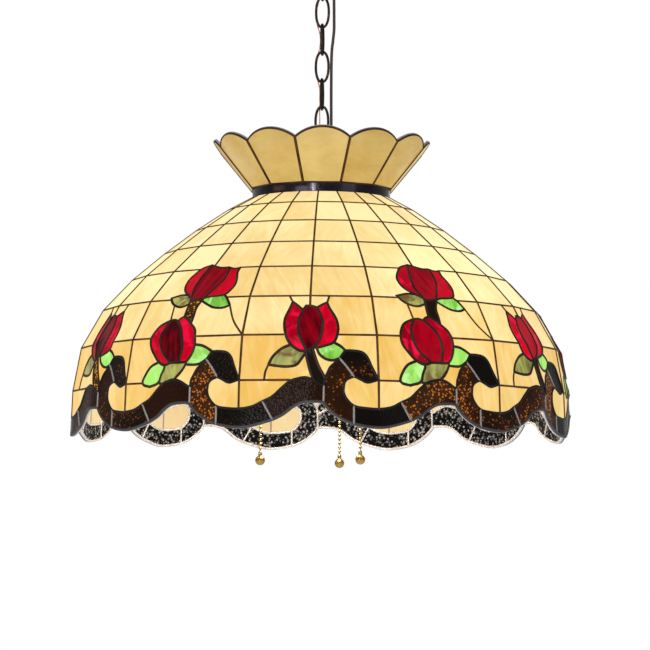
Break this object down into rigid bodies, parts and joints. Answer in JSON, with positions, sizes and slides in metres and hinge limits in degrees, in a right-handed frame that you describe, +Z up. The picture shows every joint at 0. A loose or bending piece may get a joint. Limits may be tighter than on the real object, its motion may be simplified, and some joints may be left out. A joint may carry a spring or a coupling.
{
  "type": "pendant lamp",
  "caption": "Chain-hung stained-glass pendant lamp with a leaded dome, a flared glass crown, a cluster of bulbs and bead pull chains.",
  "frame": {"origin": "midway between the two ceiling screw slots, on the crossbar's upper face, in the ceiling plane", "axes": "+Z up into the ceiling, +X along the row of ceiling screws, -Y towards the viewer"},
  "size_m": [0.5102, 0.5102, 0.5731],
  "materials": {
    "bare_steel": "zinc plated, slightly dull",
    "antique_bronze": "satin antique bronze",
    "brass_plate": "lacquered brass",
    "bushing_black": "matte",
    "ground_green": "painted",
    "cord_brown": "soft vinyl",
    "wire_copper": "clear sleeve over bare copper",
    "band_bronze": "semi-gloss dark bronze",
    "crown_glass": "opalescent, wispy",
    "cream_glass": "opalescent, lit from inside",
    "red_glass": "streaky, glossy",
    "dark_red_glass": "streaky, glossy",
    "light_green_glass": "mottled",
    "olive_glass": "mottled",
    "stem_glass": "hammered",
    "scroll_dark_glass": "hammered, near black",
    "scroll_amber_glass": "hammered amber",
    "solder": "dark bronze patina on solder",
    "socket_brass": "satin brass shell",
    "insulating_card": "fibre sleeve",
    "phenolic": "moulded phenolic",
    "base_metal": "rolled thread",
    "frosted_glass": "frosted, lit",
    "polished_brass": "polished"
  },
  "bodies": {
    "ceiling_fitting": {"crossbar": "bare_steel", "canopy": "antique_bronze", "top_nipple": "brass_plate", "canopy_nut": "bare_steel", "canopy_loop": "antique_bronze", "cord_bushing": "bushing_black", "ground_screw": "ground_green", "lamp_cord": "cord_brown", "ground_wire": "wire_copper"},
    "link_1": {"chain_link_1": "antique_bronze"},
    "link_2": {"chain_link_2": "antique_bronze"},
    "link_3": {"chain_link_3": "antique_bronze"},
    "link_4": {"chain_link_4": "antique_bronze"},
    "link_5": {"chain_link_5": "antique_bronze"},
    "link_6": {"chain_link_6": "antique_bronze"},
    "link_7": {"chain_link_7": "antique_bronze"},
    "lamp": {"lower_loop": "antique_bronze", "stem": "brass_plate", "stem_nuts": "brass_plate", "spider": "bare_steel", "neck_band": "band_bronze", "crown_glass": "crown_glass", "crown_leading": "solder", "cream_upper": "cream_glass", "cream_middle": "cream_glass", "cream_lower": "cream_glass", "curl_glass": "cream_glass", "rose_petals": "red_glass", "rose_hearts": "dark_red_glass", "bud_petals": "red_glass", "bud_hearts": "dark_red_glass", "leaves_light": "light_green_glass", "leaves_olive": "olive_glass", "stems": "stem_glass", "scroll_dark": "scroll_dark_glass", "scroll_amber": "scroll_amber_glass", "leading_ribs": "solder", "leading_rings": "solder", "leading_flowers": "solder", "leading_scroll": "solder", "cluster_body": "brass_plate", "cluster_cover": "brass_plate", "finial": "brass_plate", "socket_arms": "brass_plate", "socket_caps": "socket_brass", "socket_shells": "socket_brass", "socket_liners": "insulating_card", "switch_cores": "phenolic", "screw_shells": "brass_plate", "centre_contacts": "brass_plate", "switch_bells": "socket_brass", "bulb_bases": "base_metal", "bulb_glass": "frosted_glass"},
    "switch_1": {"switch_bead_1": "polished_brass"},
    "pull_1": {"pull_chain_1": "polished_brass"},
    "switch_2": {"switch_bead_2": "polished_brass"},
    "pull_2": {"pull_chain_2": "polished_brass"},
    "switch_3": {"switch_bead_3": "polished_brass"},
    "pull_3": {"pull_chain_3": "polished_brass"}
  },
  "joints": [
    {"name": "link_1_swing", "type": "hinge", "parent": "ceiling_fitting", "child": "link_1", "pos_m": [0, 0, -0.06373], "axis": [1, 0, 0], "range_deg": [-10, 10], "deforming": ["lamp_cord", "ground_wire"]},
    {"name": "link_2_swing", "type": "hinge", "parent": "link_1", "child": "link_2", "pos_m": [0, 0, -0.09123], "axis": [0, 1, 0], "range_deg": [-10, 10]},
    {"name": "link_3_swing", "type": "hinge", "parent": "link_2", "child": "link_3", "pos_m": [0, 0, -0.11968], "axis": [1, 0, 0], "range_deg": [-10, 10]},
    {"name": "link_4_swing", "type": "hinge", "parent": "link_3", "child": "link_4", "pos_m": [0, 0, -0.14813], "axis": [0, 1, 0], "range_deg": [-10, 10]},
    {"name": "link_5_swing", "type": "hinge", "parent": "link_4", "child": "link_5", "pos_m": [0, 0, -0.17657], "axis": [1, 0, 0], "range_deg": [-10, 10]},
    {"name": "link_6_swing", "type": "hinge", "parent": "link_5", "child": "link_6", "pos_m": [0, 0, -0.20503], "axis": [0, 1, 0], "range_deg": [-10, 10]},
    {"name": "link_7_swing", "type": "hinge", "parent": "link_6", "child": "link_7", "pos_m": [0, 0, -0.23348], "axis": [1, 0, 0], "range_deg": [-10, 10]},
    {"name": "lamp_swing", "type": "hinge", "parent": "link_7", "child": "lamp", "pos_m": [0, 0, -0.26193], "axis": [0, 1, 0], "range_deg": [-10, 10]},
    {"name": "pull_1_switch", "type": "slide", "parent": "lamp", "child": "switch_1", "axis": [0, 0, -1], "range_m": [0, 0.012], "stiffness_N_per_m": 200, "springref_m": -0.005},
    {"name": "pull_1_swing", "type": "hinge", "parent": "switch_1", "child": "pull_1", "pos_m": [0.04245, -0.04489, -0.45746], "axis": [0.7266, 0.6871, 0], "range_deg": [-20, 20]},
    {"name": "pull_2_switch", "type": "slide", "parent": "lamp", "child": "switch_2", "axis": [0, 0, -1], "range_m": [0, 0.012], "stiffness_N_per_m": 200, "springref_m": -0.005},
    {"name": "pull_2_swing", "type": "hinge", "parent": "switch_2", "child": "pull_2", "pos_m": [0.01765, 0.05921, -0.45746], "axis": [-0.9583, 0.2857, 0], "range_deg": [-20, 20]},
    {"name": "pull_3_switch", "type": "slide", "parent": "lamp", "child": "switch_3", "axis": [0, 0, -1], "range_m": [0, 0.012], "stiffness_N_per_m": 200, "springref_m": -0.005},
    {"name": "pull_3_swing", "type": "hinge", "parent": "switch_3", "child": "pull_3", "pos_m": [-0.0601, -0.01432, -0.45746], "axis": [0.2317, -0.9728, 0], "range_deg": [-20, 20]}
  ]
}
